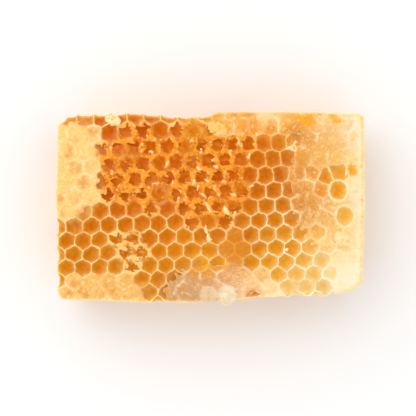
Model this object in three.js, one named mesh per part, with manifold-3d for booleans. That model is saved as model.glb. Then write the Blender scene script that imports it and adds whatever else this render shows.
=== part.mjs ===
// A piece of cut comb honey, lying flat on one face: a slab of beeswax cells filled with honey.
// Two layers of six-sided cells stand back to back on a midrib. The upper face is partly sealed with
// wax caps, partly torn and partly open to the honey, and its four sides are knife cuts through the
// cells. Millimetres, +Z up, origin at the middle of the flat lower face, +X along the slab.

import * as THREE from "three";
import { mergeVertices } from "three/addons/utils/BufferGeometryUtils.js";
import Module from "manifold-3d";

const wasm = await Module();
wasm.setup();

// ---- driving dimensions ----
const RIM_HEIGHT = 25.6; // the top of the cell walls
const MIDRIB = { height: 12.9, thickness: 0.9 };
const PITCH = 5.35; // a worker cell, from wall to wall
const ROW_STEP = (PITCH * Math.sqrt(3)) / 2;
const ROWS = { first: -12, last: 12 };
const COLUMNS = { first: -18, last: 10 };
const WALL = 0.6; // the thickness of a wall at its rim
const HONEY_DEPTH = { least: 0.5, most: 1.1, dip: 0.2 }; // from the rim down to the honey
const MOUTH = { least: 0.55, most: 0.97 }; // how much of a torn cell is open, as a share of its width
const POCKET_FLOOR = 0.93; // the width of a cell at the honey, as a share of its width at the rim
const CAP = { shoulder: 0.3, apex: 0.42, crown: 0.55, least: 0.6, most: 1.2 };
const SIDE = { step: 1.75, recess: 0.75, round: 1.2, ragged: 0.3 }; // honey stands back from a cut
const OVERLAP = 0.3; // how deep joined pieces run into each other
const WAVES = [
  { height: 0.3, x: 57, y: 39 },
  { height: 0.15, x: 21, y: 27 },
]; // how uneven the upper face is: the heights and lengths of its waves

// How the rows lie: turned a little, spreading towards the back, with cells that widen towards the
// front right, and each cell a little out of its place.
const ANCHOR = new THREE.Vector2(23.6, -8.3); // the middle of one cell
const TURN = THREE.MathUtils.degToRad(2);
const ROW_SPREAD = { from: -3.7, rate: 0.0026 };
const WIDENING = { lean: 0.03, rate: 0.004, reach: 20 };
const JITTER = 0.3;

// The slab seen from above, from its front left corner round to the right.
const OUTLINE = [
  [-47.4, -29.1], [-20, -30.1], [-6, -30.2], [12, -29], [22, -28.1], [35, -28.4],
  [44.4, -26.7], [48.4, -24.1], [49.2, 0.5], [49, 29.1], [47.5, 30.1], [34, 30.6],
  [13, 30.8], [2.4, 30.6], [-1.8, 29], [-8, 29.2], [-25, 30.5], [-46.2, 29.7],
  [-48.8, 26], [-49.3, 5.5], [-49, -26.1],
].map(([x, y]) => new THREE.Vector2(x, y));

// Where the cells are sealed, and where the caps are torn: ellipses, by middle and half sizes.
const CAPPED_AREAS = [
  { x: 42, y: 8.5, rx: 16, ry: 24 },
  { x: 46, y: -19.5, rx: 8.5, ry: 11 },
  { x: 24, y: 31.5, rx: 32, ry: 8 },
  { x: 1, y: -27.5, rx: 15.5, ry: 9.5 },
  { x: 9.5, y: -13.5, rx: 5, ry: 6 },
  { x: 18, y: -28.5, rx: 6, ry: 4.5 },
  { x: 27.5, y: 22, rx: 3, ry: 3 },
  { x: 16, y: -22, rx: 2.5, ry: 2.5 },
  { x: -44, y: 12.5, rx: 8.5, ry: 15 },
  { x: -34, y: -28.5, rx: 13, ry: 7 },
];
const TORN_AREAS = [
  { x: -1, y: 12, rx: 14.5, ry: 18 },
  { x: -21, y: 12.5, rx: 15, ry: 15 },
  { x: -25, y: -13.5, rx: 7, ry: 6 },
];
// Two wide round cells that stay open among the sealed ones, and some common ones that do.
const ROUND_CELLS = [new THREE.Vector2(40.7, 5.6), new THREE.Vector2(42.8, -2.6)];
const ROUND_MOUTH = { rx: 2.5, ry: 3 };
const WINDOW_CELLS = [new THREE.Vector2(37, 9.6), new THREE.Vector2(40.4, 11.4)];

// Crumbs and lumps of wax pressed onto the slab: middle and half sizes.
const LUMPS = [
  { x: 5.2, y: -27.9, z: 24.6, rx: 2.8, ry: 3, rz: 2 },
  { x: -0.7, y: -27.4, z: 24.9, rx: 2.6, ry: 2.3, rz: 1.3 },
  { x: 2, y: 25.3, z: 25.6, rx: 3.1, ry: 2, rz: 0.7 },
  { x: 41.6, y: -9.3, z: 25.6, rx: 2.1, ry: 1.9, rz: 0.6 },
  { x: -31, y: 27.9, z: 25.4, rx: 2.3, ry: 1.6, rz: 0.9 },
];

// ---- repeatable chance and simple curves ----
function chance(a, b, c) {
  const s = Math.sin(a * 127.1 + b * 311.7 + c * 74.7) * 43758.5453;
  return s - Math.floor(s);
}

function between({ least, most }, share) {
  return least + (most - least) * share;
}

function smooth(t) {
  const u = THREE.MathUtils.clamp(t, 0, 1);
  return u * u * (3 - 2 * u);
}

function cover(areas, point) {
  const inside = (a) => 1 - Math.hypot((point.x - a.x) / a.rx, (point.y - a.y) / a.ry);
  return Math.max(...areas.map(inside));
}

function swell(x, y) {
  const turn = 2 * Math.PI;
  const wave = (w) => w.height * Math.sin((turn * x) / w.x + 1) * Math.cos((turn * y) / w.y);
  return WAVES.reduce((sum, w) => sum + wave(w), 0);
}

// ---- the cells ----
function kindOf(place, column, row) {
  if (WINDOW_CELLS.includes(place)) return "open";
  const luck = 0.3 * (chance(column, row, 5) - 0.5);
  if (cover(CAPPED_AREAS, place) + luck > 0) return "capped";
  if (cover(TORN_AREAS, place) + luck > 0) return "torn";
  return "open";
}

function makeCell(column, row, shift) {
  const place = new THREE.Vector2(PITCH * (column + 0.5 * (row & 1)), ROW_STEP * row + shift);
  place.rotateAround(new THREE.Vector2(), TURN);
  const widening = WIDENING.rate * WIDENING.reach * Math.tanh(place.x / WIDENING.reach);
  place.x -= (WIDENING.lean + widening) * place.y;
  place.y += ROW_SPREAD.rate * (place.y + ANCHOR.y - ROW_SPREAD.from) ** 2;
  const jitter = (draw) => JITTER * (2 * chance(column, row, draw + shift) - 1);
  place.add(ANCHOR).add(new THREE.Vector2(jitter(1), jitter(2)));
  const near = (fixed) => fixed.distanceTo(place) < PITCH / 2;
  const middle = [...ROUND_CELLS, ...WINDOW_CELLS].find(near) ?? place;
  const kind = ROUND_CELLS.includes(middle) ? "round" : kindOf(middle, column, row);
  return { middle, kind, column, row };
}

function makeCells(shift) {
  const cells = [];
  for (let row = ROWS.first; row <= ROWS.last; row++) {
    for (let column = COLUMNS.first; column <= COLUMNS.last; column++) {
      cells.push(makeCell(column, row, shift));
    }
  }
  return cells;
}

// The lower cells stand back to back with the upper ones, each under a corner where three meet.
const upperCells = makeCells(0);
const lowerCells = makeCells((2 / 3) * ROW_STEP);

// How far a point is from the nearest wall between two cells.
function wallDistance(point, cells) {
  const [first, second] = cells
    .map(({ middle }) => ({ middle, away: middle.distanceTo(point) }))
    .sort((a, b) => a.away - b.away);
  return (second.away ** 2 - first.away ** 2) / (2 * first.middle.distanceTo(second.middle));
}

// The part of a convex outline that lies less than reach from the middle towards a neighbour.
function cutBack(points, middle, towards, reach) {
  const past = (p) => p.clone().sub(middle).dot(towards) - reach;
  return points.flatMap((p, n) => {
    const next = points[(n + 1) % points.length];
    const [here, there] = [past(p), past(next)];
    const kept = here <= 0 ? [p] : [];
    return here * there < 0 ? [...kept, p.clone().lerp(next, here / (here - there))] : kept;
  });
}

// The cell's outline inside its walls: a square cut back half way to each neighbour.
function cellOutline({ middle }) {
  const corners = [[-1, -1], [1, -1], [1, 1], [-1, 1]];
  let points = corners.map(([x, y]) => new THREE.Vector2(x * PITCH, y * PITCH).add(middle));
  for (const other of upperCells) {
    const away = other.middle.clone().sub(middle);
    const apart = away.length();
    if (apart === 0 || apart > 2 * PITCH) continue;
    points = cutBack(points, middle, away.normalize(), (apart - WALL) / 2);
  }
  const far = (p, n) => p.distanceTo(points[(n + 1) % points.length]) > WALL / 2;
  return points.filter(far);
}

// ---- solids ----
function toSolid(geometry) {
  const bare = geometry.clone();
  bare.deleteAttribute("normal");
  bare.deleteAttribute("uv");
  const merged = mergeVertices(bare, 1e-4);
  return new wasm.Manifold(
    new wasm.Mesh({
      numProp: 3,
      vertProperties: new Float32Array(merged.attributes.position.array),
      triVerts: new Uint32Array(merged.index.array),
    }),
  );
}

// A closed solid between two outlines of as many points, whose ends rise to a point by their rise.
function frustum(low, high) {
  const count = low.points.length;
  const ends = [low, high].map(({ points, z, rise = 0 }) => {
    const sum = points.reduce((total, p) => total.add(p), new THREE.Vector2());
    return [sum.x / count, sum.y / count, z + rise];
  });
  const rings = [low, high].flatMap(({ points, z }) => points.flatMap((p) => [p.x, p.y, z]));
  const faces = low.points.flatMap((_, n) => {
    const next = (n + 1) % count;
    const side = [n, next, count + next, n, count + next, count + n];
    return [2 * count, next, n, ...side, count + n, count + next, 2 * count + 1];
  });
  const geometry = new THREE.BufferGeometry();
  geometry.setAttribute("position", new THREE.Float32BufferAttribute([...rings, ...ends.flat()], 3));
  geometry.setIndex(faces);
  return toSolid(geometry);
}

function scaled(points, middle, share) {
  return points.map((p) => middle.clone().lerp(p, share));
}

// A hole down to the honey, whose face dips in the middle.
function pocket(cell, mouth) {
  const depth = between(HONEY_DEPTH, chance(cell.column, cell.row, 3));
  return frustum(
    {
      points: scaled(mouth, cell.middle, POCKET_FLOOR),
      z: RIM_HEIGHT - depth,
      rise: -HONEY_DEPTH.dip,
    },
    { points: mouth, z: RIM_HEIGHT + 1 },
  );
}

// What is left of the cap hangs into a torn cell, so that its mouth is small and uneven.
function tornMouth(cell) {
  const outline = cellOutline(cell);
  const half = (p, n) => p.clone().lerp(outline[(n + 1) % outline.length], 0.5);
  const corners = outline.flatMap((p, n) => [p, half(p, n)]);
  const share = (n) => between(MOUTH, chance(cell.column + 0.1 * n, cell.row, 7));
  return corners.map((p, n) => cell.middle.clone().lerp(p, share(n)));
}

function roundMouth({ middle }) {
  const rim = new THREE.EllipseCurve(middle.x, middle.y, ROUND_MOUTH.rx, ROUND_MOUTH.ry);
  return rim.getPoints(12).slice(0, -1);
}

function cap(cell) {
  const outline = cellOutline(cell);
  const fullness = between(CAP, chance(cell.column, cell.row, 4));
  return frustum(
    { points: outline, z: RIM_HEIGHT - OVERLAP / 3 },
    {
      points: scaled(outline, cell.middle, CAP.crown),
      z: RIM_HEIGHT + CAP.shoulder * fullness,
      rise: (CAP.apex - CAP.shoulder) * fullness,
    },
  );
}

// Points round the slab: the walls reach the cut, and between them the honey stands back from it.
function sideOutline(cells, recess) {
  return OUTLINE.flatMap((from, side) => {
    const to = OUTLINE[(side + 1) % OUTLINE.length];
    const along = to.clone().sub(from);
    const inward = new THREE.Vector2(-along.y, along.x).normalize();
    const steps = Math.max(1, Math.round(along.length() / SIDE.step));
    return Array.from({ length: steps }, (_, n) => {
      const point = from.clone().lerp(to, n / steps);
      const back = recess * smooth((wallDistance(point, cells) - WALL / 2) / SIDE.round);
      return point.addScaledVector(inward, back + SIDE.ragged * chance(side, n, 9));
    });
  });
}

function slab(points, from, to) {
  const options = { depth: to - from, bevelEnabled: false };
  return toSolid(new THREE.ExtrudeGeometry(new THREE.Shape(points), options).translate(0, 0, from));
}

function lump({ x, y, z, rx, ry, rz }) {
  const ball = new THREE.SphereGeometry(1, 10, 7).rotateX(Math.PI / 2);
  return toSolid(ball.scale(rx, ry, rz).translate(x, y, z));
}

// ---- the whole piece ----
function insideSlab({ x, y }) {
  const crosses = (a, n) => {
    const b = OUTLINE[(n + 1) % OUTLINE.length];
    return a.y > y !== b.y > y && x < ((b.x - a.x) * (y - a.y)) / (b.y - a.y) + a.x;
  };
  return OUTLINE.filter(crosses).length % 2 === 1;
}

function makeComb() {
  const recessed = sideOutline(upperCells, SIDE.recess);
  const half = MIDRIB.thickness / 2;
  const layers = wasm.Manifold.union([
    slab(sideOutline(lowerCells, SIDE.recess), 0, MIDRIB.height),
    slab(sideOutline(upperCells, 0), MIDRIB.height - half, MIDRIB.height + half),
    slab(recessed, MIDRIB.height, RIM_HEIGHT),
  ]);
  const cells = upperCells.filter(({ middle }) => insideSlab(middle));
  const ofKind = (kind) => cells.filter((cell) => cell.kind === kind);
  const pockets = wasm.Manifold.union([
    ...ofKind("open").map((cell) => pocket(cell, cellOutline(cell))),
    ...ofKind("torn").map((cell) => pocket(cell, tornMouth(cell))),
    ...ofKind("round").map((cell) => pocket(cell, roundMouth(cell))),
  ]);
  const caps = wasm.Manifold.union(ofKind("capped").map(cap));
  const sealed = caps.intersect(slab(recessed, MIDRIB.height, RIM_HEIGHT + CAP.most));
  const joined = wasm.Manifold.union([layers.subtract(pockets), sealed, ...LUMPS.map(lump)]);
  const bodies = joined.decompose().sort((a, b) => b.volume() - a.volume());
  return bodies[0]; // without the tiny hollows that a lump shuts
}

// The upper face isn't level: each point rises or sinks in proportion to its height.
function toGeometry(solid) {
  const { vertProperties, triVerts } = solid.getMesh();
  const geometry = new THREE.BufferGeometry();
  const position = new THREE.BufferAttribute(new Float32Array(vertProperties), 3);
  for (let n = 0; n < position.count; n++) {
    const [x, y, z] = position.array.slice(3 * n, 3 * n + 3);
    position.setZ(n, z + (z / RIM_HEIGHT) * swell(x, y));
  }
  geometry.setAttribute("position", position);
  geometry.setIndex([...triVerts]);
  geometry.computeVertexNormals();
  return geometry;
}

const wax = new THREE.MeshStandardMaterial({ color: 0xe8a53c, roughness: 0.35, metalness: 0 });
const comb = new THREE.Mesh(toGeometry(makeComb()), wax);
comb.name = "honeycomb";

const piece = new THREE.Group();
piece.add(comb);

export default piece;
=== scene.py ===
"""The looks of a piece of cut comb honey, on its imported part. Blender 4.5.

The comb is two layers of cells, back to back on a midrib. In each layer the wax and the honey are two
fields on a grid, negative inside, whose zero levels become meshes. The wax is a shell of walls, caps and
crumbs that reaches a little below the honey's face, and the honey fills the slab behind it. Both stand on
the same cells as the part's source. Sizes are in millimetres and become metres when a mesh is made.

Unevenness is written as a height times ripples(seed, wavelength, ...), where the seeds only keep the
noises apart. A share goes from 0 to 1 and says how much of a second colour is mixed into a first.
"""

import math

import bpy
import numpy as np
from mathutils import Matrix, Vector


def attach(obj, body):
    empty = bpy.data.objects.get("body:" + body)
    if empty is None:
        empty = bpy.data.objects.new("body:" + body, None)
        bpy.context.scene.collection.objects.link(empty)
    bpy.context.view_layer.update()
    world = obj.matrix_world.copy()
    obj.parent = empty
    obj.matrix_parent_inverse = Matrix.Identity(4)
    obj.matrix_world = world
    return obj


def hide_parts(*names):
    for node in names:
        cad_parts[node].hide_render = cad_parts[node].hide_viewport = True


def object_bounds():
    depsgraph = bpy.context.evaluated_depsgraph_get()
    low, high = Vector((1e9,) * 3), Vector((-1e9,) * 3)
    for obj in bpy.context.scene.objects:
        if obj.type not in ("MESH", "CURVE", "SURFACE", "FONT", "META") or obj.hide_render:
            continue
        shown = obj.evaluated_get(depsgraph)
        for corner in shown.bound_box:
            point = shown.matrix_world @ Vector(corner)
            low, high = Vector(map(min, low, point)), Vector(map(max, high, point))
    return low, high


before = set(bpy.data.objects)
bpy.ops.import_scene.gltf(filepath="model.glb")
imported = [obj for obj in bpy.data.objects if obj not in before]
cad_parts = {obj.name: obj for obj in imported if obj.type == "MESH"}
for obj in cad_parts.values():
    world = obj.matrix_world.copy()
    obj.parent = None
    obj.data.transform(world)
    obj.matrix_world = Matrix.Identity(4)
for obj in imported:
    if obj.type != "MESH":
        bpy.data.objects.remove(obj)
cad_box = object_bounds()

import openvdb
from mathutils import Vector

MM = 0.001

# ---- the part's own measures, as in its source ----
RIM_HEIGHT = 25.6
MIDRIB_HEIGHT = 12.9
PITCH = 5.35
ROW_STEP = PITCH * math.sqrt(3) / 2
ROWS = (-12, 12)  # the first and the last, as for the columns
COLUMNS = (-18, 10)
WAVES = ({"height": 0.3, "x": 57, "y": 39}, {"height": 0.15, "x": 21, "y": 27})

# How the rows lie: turned a little, spreading towards the back, with cells that widen towards the
# front right, and each cell a little out of its place.
ANCHOR = (23.6, -8.3)  # the middle of one cell
TURN = math.radians(2)
ROW_SPREAD = {"from": -3.7, "rate": 0.0026}
WIDENING = {"lean": 0.03, "rate": 0.004, "reach": 20}
JITTER = 0.3

# What chance decides about a cell, and by which of its numbers.
HONEY_DEPTH = (0.5, 1.1)  # from the rim down to the honey
EDGE_LUCK = 0.3  # how unevenly an area's edge takes cells in
DRAWS = {"x": 1, "y": 2, "depth": 3, "kind": 5, "looks": 11}

# The slab seen from above, from its front left corner round to the right.
OUTLINE = np.array([
    [-47.4, -29.1], [-20, -30.1], [-6, -30.2], [12, -29], [22, -28.1], [35, -28.4],
    [44.4, -26.7], [48.4, -24.1], [49.2, 0.5], [49, 29.1], [47.5, 30.1], [34, 30.6],
    [13, 30.8], [2.4, 30.6], [-1.8, 29], [-8, 29.2], [-25, 30.5], [-46.2, 29.7],
    [-48.8, 26], [-49.3, 5.5], [-49, -26.1],
])

# Where the cells are sealed, and where the caps are torn: ovals, by middle and half sizes.
RAGGED_CAPS = (
    (42, 8.5, 16, 24), (46, -19.5, 8.5, 11), (24, 31.5, 32, 8), (1, -27.5, 15.5, 9.5),
    (18, -28.5, 6, 4.5), (-44, 12.5, 8.5, 15), (-34, -28.5, 13, 7),
)
NEAT_CAPS = ((9.5, -13.5, 5, 6), (27.5, 22, 3, 3), (16, -22, 2.5, 2.5))  # they end at their cells' walls
CAPPED_AREAS = RAGGED_CAPS + NEAT_CAPS
TORN_AREAS = ((-1, 12, 14.5, 18), (-21, 12.5, 15, 15), (-25, -13.5, 7, 6))
# Two wide round cells that stay open among the sealed ones, and two common ones that do.
ROUND_CELLS = ((40.7, 5.6), (42.8, -2.6))
WINDOW_CELLS = ((37, 9.6), (40.4, 11.4))
OPEN, TORN, CAPPED, ROUND, WINDOW = range(5)  # the kinds of cell

# ---- the finer measures ----
GRID_STEP = 0.22
GRID_MARGIN = {"sides": 1.4, "ends": 0.6}
AT_ONCE = {"points": 20000, "heights": 12}  # how much is worked out at a time, to save memory
HALF_WALL = {"deep": 0.12, "rim": 0.2, "cut": 0.22, "torn": 0.22}  # half a wall; a torn one has that more
CORNER_ROUND = 0.3
WALL_BENDS = ((0.17, 4.5), (0.12, 1.9))  # how far the walls bend, and over what length
MIDRIB_THICKNESS = 0.5
ROUND_CELL = {"rx": 2.7, "ry": 3.2, "depth": 0.6}
CELL_BOTTOM = {"depth": 0.5, "width": 2}  # how far the midrib dips into a cell's middle
CAP = {"thickness": 0.5, "below_rim": 0.2, "dome": 0.25, "sag": 0.45, "runnel": 0.15}
UNDER_CAP = {"height": 0.25, "dome": 0.12}  # the middle of the lower face's caps
TEAR = {"least": 0.2, "broken": 1.2}  # how far the walls of torn cells are worn down
OPENING = {"stretch": 1.2, "drop": 1.3, "width": 0.3}  # the rims drop at its edge, over that width
SHELL = 0.8  # how far the wax reaches behind the honey's face
MENISCUS = {"height": 0.25, "width": 0.6}
HONEY = {"under_cap": 0.15, "bottom": 0.2}  # how far under a cap's middle, and the lowest height
SIDE_RECESS = {"least": 0.15, "more": 0.45, "width": 1.2}  # how far the honey stands back from a cut
# How wide the rounding is where forms meet.
ROUNDING = {
    "midrib": 0.4, "rim": 0.25, "hole": 0.3, "cap": 0.4, "under": 0.3, "lump": 0.3,
    "honey": 0.8, "bottom": 0.3, "cut": 0.2,
}

# Lumps and flakes of wax: middle, half sizes and a turn in degrees. Those of the part come first.
LUMPS = (
    (5.2, -27.9, 24.6, 2.8, 3, 2, 0), (-0.7, -27.4, 24.9, 2.6, 2.3, 1.3, 0),
    (2, 25.3, 25.6, 3.1, 2, 0.7, -25), (41.6, -9.3, 25.6, 2.1, 1.9, 0.6, 0),
    (-31, 27.9, 25.4, 2.3, 1.6, 0.9, 0),
)
FLAKES = (
    (8.8, 21.3, 25.6, 1.2, 0.35, 0.3, 105), (10.1, 23.4, 25.7, 0.6, 0.4, 0.3, 20),
    (1.6, 13.3, 25.5, 0.9, 0.4, 0.3, -30), (4.3, 8.4, 25.5, 0.6, 0.4, 0.3, -20),
    (-3.7, 12.6, 25.4, 0.8, 0.4, 0.3, -35), (-2.6, 27.6, 25.6, 1.9, 0.4, 0.3, -28),
    (7.5, 4.3, 25.4, 1.5, 0.3, 0.3, -8), (4.9, -0.8, 25.6, 1.6, 0.6, 0.35, -60),
    (7.7, -1.6, 25.6, 0.8, 0.4, 0.3, 60), (-0.7, -9.3, 25.8, 1.1, 0.5, 0.4, 95),
    (-0.2, -10, 25.8, 1, 0.45, 0.35, 12), (-0.7, 0.2, 25.5, 1.8, 0.35, 0.3, -62),
    (26.6, 20.3, 25.7, 1.3, 0.35, 0.3, 62), (25.3, 19.3, 25.7, 1.3, 0.35, 0.3, 28),
    (27.1, 19.1, 25.7, 0.9, 0.3, 0.3, 105), (26.1, 18.5, 25.7, 1, 0.35, 0.3, 150),
    (-1.4, -6.9, 25.6, 1.9, 0.35, 0.3, 98), (24, -13.2, 25.6, 0.9, 0.3, 0.3, -15),
    (13.2, 7, 25.6, 0.9, 0.3, 0.3, 25), (1.4, 6.6, 25.5, 0.8, 0.3, 0.3, 80),
    (-4.3, 6, 25.5, 1.2, 0.35, 0.3, 70), (-2, 3.9, 25.4, 1, 0.3, 0.3, -40),
    (12.3, 16.6, 25.6, 0.9, 0.3, 0.3, 80), (-3, 18.2, 25.5, 1, 0.3, 0.3, 80),
    (43.2, 11.7, 26.1, 2.8, 0.35, 0.3, 88), (-6.2, 21.4, 25.5, 0.8, 0.3, 0.3, 60),
    (0.2, 21, 25.5, 0.5, 0.3, 0.3, 0), (-5.3, 8.3, 25.4, 1, 0.3, 0.3, 75),
    (-1.4, 8.9, 25.4, 1.1, 0.3, 0.3, -30), (0.8, 15.3, 25.5, 0.8, 0.3, 0.3, 60),
    (12.8, -27.2, 25.5, 1, 0.35, 0.25, 20), (14.8, -28.1, 25.4, 1.2, 0.3, 0.25, 15),
    (15.5, -27, 25.5, 0.9, 0.25, 0.25, -30), (-14, 14, 25.3, 1.3, 0.3, 0.3, 50),
    (-19, 18, 25.3, 1, 0.3, 0.3, -20), (-24, 9, 25.3, 1.2, 0.3, 0.3, 75),
    (-17.5, 8, 25.3, 0.9, 0.3, 0.3, 10),
)
# Gaps in the caps that honey fills: middle, half sizes, and how deep the honey stands in them.
OPENINGS = ((14, -27.5, 2.3, 0.9, 0.1), (-2.5, 28.1, 1.2, 0.5, 0.1))
# Where the caps have sunk onto the honey, so that the walls stand out: middle and half sizes.
SUNKEN_AREAS = (
    (35.6, 4.8, 3, 3), (44, 11.6, 2, 2.5), (34.6, -7.8, 3.4, 3), (40, -13.4, 6.5, 1.5),
    (38, -20.5, 2.6, 3.5), (19.7, 24.6, 3, 2), (-3, -20, 7, 3), (32.4, 11.2, 3, 2.6), (27, 22, 2.5, 2.5),
)
# Where honey has run over torn comb: middle and half sizes.
FLOODED_AREAS = (
    (-7.5, 18.5, 3, 7), (-4.5, 24.5, 4, 4.5), (6, 1, 4, 2), (10, 6.8, 4.5, 2.8), (-16, 5, 4, 6),
    (-27, 17, 5, 4),
)
# Lines of honey in the caps: the points along each, and its half width.
RUNNELS = (
    (((14.2, 31), (14.4, 27), (14, 24), (14.4, 21)), 0.4),
    (((1.6, 28.2), (3.4, 27.2), (5.4, 25.7)), 0.5),
    (((6.4, 30.2), (9, 30.5), (11.6, 30)), 0.35),
)
# Where a sealed cap lies in rings, like thick paint that was stirred.
SWIRL = {"x": 8.6, "y": -21.9, "rx": 4.4, "ry": 3.6, "turns": 4, "height": 0.07}
# Where the caps are so thin and wet that they look like honey: middle and half sizes.
CLEAR_AREAS = ((9, -12.5, 7.5, 8), (-3, -19, 8, 2.5), (29, 15, 2.5, 5), (27.3, 22, 2.3, 2.3))
WET_WALLS = ((12, 19, 8, 9),)  # where honey wets most of the walls' rims
HAZY_AREAS = ((-7, -25, 9, 6), (40, -24, 11, 8), (12, 29, 17, 5))  # where the caps are even


# ---- repeatable chance and smooth noise ----
def chance(a, b, c):
    """A number from 0 to 1 that looks random and is the same whenever a, b and c are."""
    s = math.sin(a * 127.1 + b * 311.7 + c * 74.7) * 43758.5453
    return s - math.floor(s)


def ripples(seed, wavelength, *axes):
    """Smooth noise from waves in random directions, mostly between -1 and 1. The axes broadcast."""
    rng = np.random.default_rng(seed)
    waves = 7
    total = 0
    for _ in range(waves):
        direction = rng.normal(size=len(axes))
        direction *= rng.uniform(0.7, 1.4) * 2 * math.pi / wavelength / np.linalg.norm(direction)
        phase = sum(np.float32(k) * a for k, a in zip(direction, axes))
        total = total + np.sin(phase + np.float32(rng.uniform(0, 2 * math.pi)))
    return total * np.float32(0.5 / math.sqrt(waves / 2))


def fractal(seed, wavelength, *axes, octaves=3, finer=2.1):
    """Ripples with finer and lower ones on top."""
    return sum(ripples(seed + n, wavelength / finer**n, *axes) / 2**n for n in range(octaves))


def turned(x, y, degrees):
    """The place of a point along and across a direction."""
    along, across = math.cos(math.radians(degrees)), math.sin(math.radians(degrees))
    return x * along + y * across, y * along - x * across


def streaks(seed, length, width, degrees, x, y):
    """Noise drawn out along one direction."""
    along, across = turned(x, y, degrees)
    return ripples(seed, width, along * (width / length), across)


def smooth(t):
    """0 up to 0, 1 from 1 on, and an even curve between."""
    u = np.clip(t, 0, 1)
    return u * u * (3 - 2 * u)


def bell(t):
    """1 at 0, and falling to nothing on both sides."""
    return np.exp(-(t**2))


def blend_low(a, b, reach):
    """The lower of two fields, rounded where they meet: joins two solids."""
    h = np.maximum(reach - np.abs(a - b), 0) / reach
    return np.minimum(a, b) - h * h * reach / 4


def blend_high(a, b, reach):
    """The higher of two fields, rounded where they meet: cuts one solid by another."""
    return -blend_low(-a, -b, reach)


def oval(x, y, middle_x, middle_y, rx, ry):
    """1 in the middle of an oval, 0 on its outline and less than 0 outside."""
    return 1 - np.hypot((x - middle_x) / rx, (y - middle_y) / ry)


def cover(areas, x, y):
    """How well the best of some ovals covers a point, as oval has it."""
    return np.max([oval(x, y, *area) for area in areas], axis=0)


def swell(x, y):
    """How far the comb's upper face rises and falls."""
    turn = 2 * math.pi
    return sum(w["height"] * np.sin(turn * x / w["x"] + 1) * np.cos(turn * y / w["y"]) for w in WAVES)


def line_distance(points, x, y):
    """How far a point seen from above is from a line through some points."""
    nearest = np.full(np.shape(x), np.inf)
    for a, b in zip(points, points[1:]):
        along = np.subtract(b, a)
        t = np.clip(((x - a[0]) * along[0] + (y - a[1]) * along[1]) / (along @ along), 0, 1)
        nearest = np.minimum(nearest, np.hypot(x - a[0] - t * along[0], y - a[1] - t * along[1]))
    return nearest


# ---- the cells ----
def make_cell(column, row, shift):
    """The cell's middle, its kind, how deep its honey stands and a number of chance for its looks."""
    x, y = PITCH * (column + 0.5 * (row & 1)), ROW_STEP * row + shift
    x, y = x * math.cos(TURN) - y * math.sin(TURN), x * math.sin(TURN) + y * math.cos(TURN)
    widening = WIDENING["rate"] * WIDENING["reach"] * math.tanh(x / WIDENING["reach"])
    x -= (WIDENING["lean"] + widening) * y
    y += ROW_SPREAD["rate"] * (y + ANCHOR[1] - ROW_SPREAD["from"]) ** 2
    x += ANCHOR[0] + JITTER * (2 * chance(column, row, DRAWS["x"] + shift) - 1)
    y += ANCHOR[1] + JITTER * (2 * chance(column, row, DRAWS["y"] + shift) - 1)
    luck = EDGE_LUCK * (chance(column, row, DRAWS["kind"]) - 0.5)
    kind = CAPPED if cover(CAPPED_AREAS, x, y) + luck > 0 else OPEN
    if kind == OPEN and cover(TORN_AREAS, x, y) + luck > 0:
        kind = TORN
    for places, fixed_kind in ((ROUND_CELLS, ROUND), (WINDOW_CELLS, WINDOW)):
        for place in places:
            if math.dist(place, (x, y)) < PITCH / 2:
                (x, y), kind = place, fixed_kind
    least, most = HONEY_DEPTH
    depth = least + (most - least) * chance(column, row, DRAWS["depth"])
    return x, y, kind, depth, chance(column, row, DRAWS["looks"])


def make_cells(shift):
    """The cells in and near the slab, a row of an array each, as make_cell gives them."""
    rows, columns = (range(first, last + 1) for first, last in (ROWS, COLUMNS))
    cells = np.array([make_cell(column, row, shift) for row in rows for column in columns])
    reach = np.abs(OUTLINE).max(axis=0) + PITCH
    return cells[(np.abs(cells[:, :2]) < reach).all(axis=1)]


UPPER_CELLS = make_cells(0)
LOWER_CELLS = make_cells(ROW_STEP * 2 / 3)


def owners_and_walls(middles, points):
    """The cell that each point is in, and how far off its two nearest walls are."""
    compared = 4  # the nearest cells, of which the first is the owner
    owners, walls = [], []
    for part in np.array_split(points, max(1, len(points) // AT_ONCE["points"])):
        away = (part**2).sum(1)[:, None] - 2 * part @ middles.T + (middles**2).sum(1)
        near = np.argpartition(away, compared, axis=1)[:, :compared]
        near = np.take_along_axis(near, np.take_along_axis(away, near, 1).argsort(1), 1)
        away = np.take_along_axis(away, near, 1)
        apart = np.linalg.norm(middles[near[:, 1:]] - middles[near[:, :1]], axis=2)
        owners.append(near[:, 0])
        walls.append(np.sort((away[:, 1:] - away[:, :1]) / (2 * apart), axis=1)[:, :2])
    return np.concatenate(owners), np.concatenate(walls)


def bent(values, seed, x, y):
    """Coordinates moved a little, so that the walls aren't quite straight."""
    for number, (height, length) in enumerate(WALL_BENDS):
        values = values + height * ripples(seed + number, length, x, y)
    return values


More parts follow.
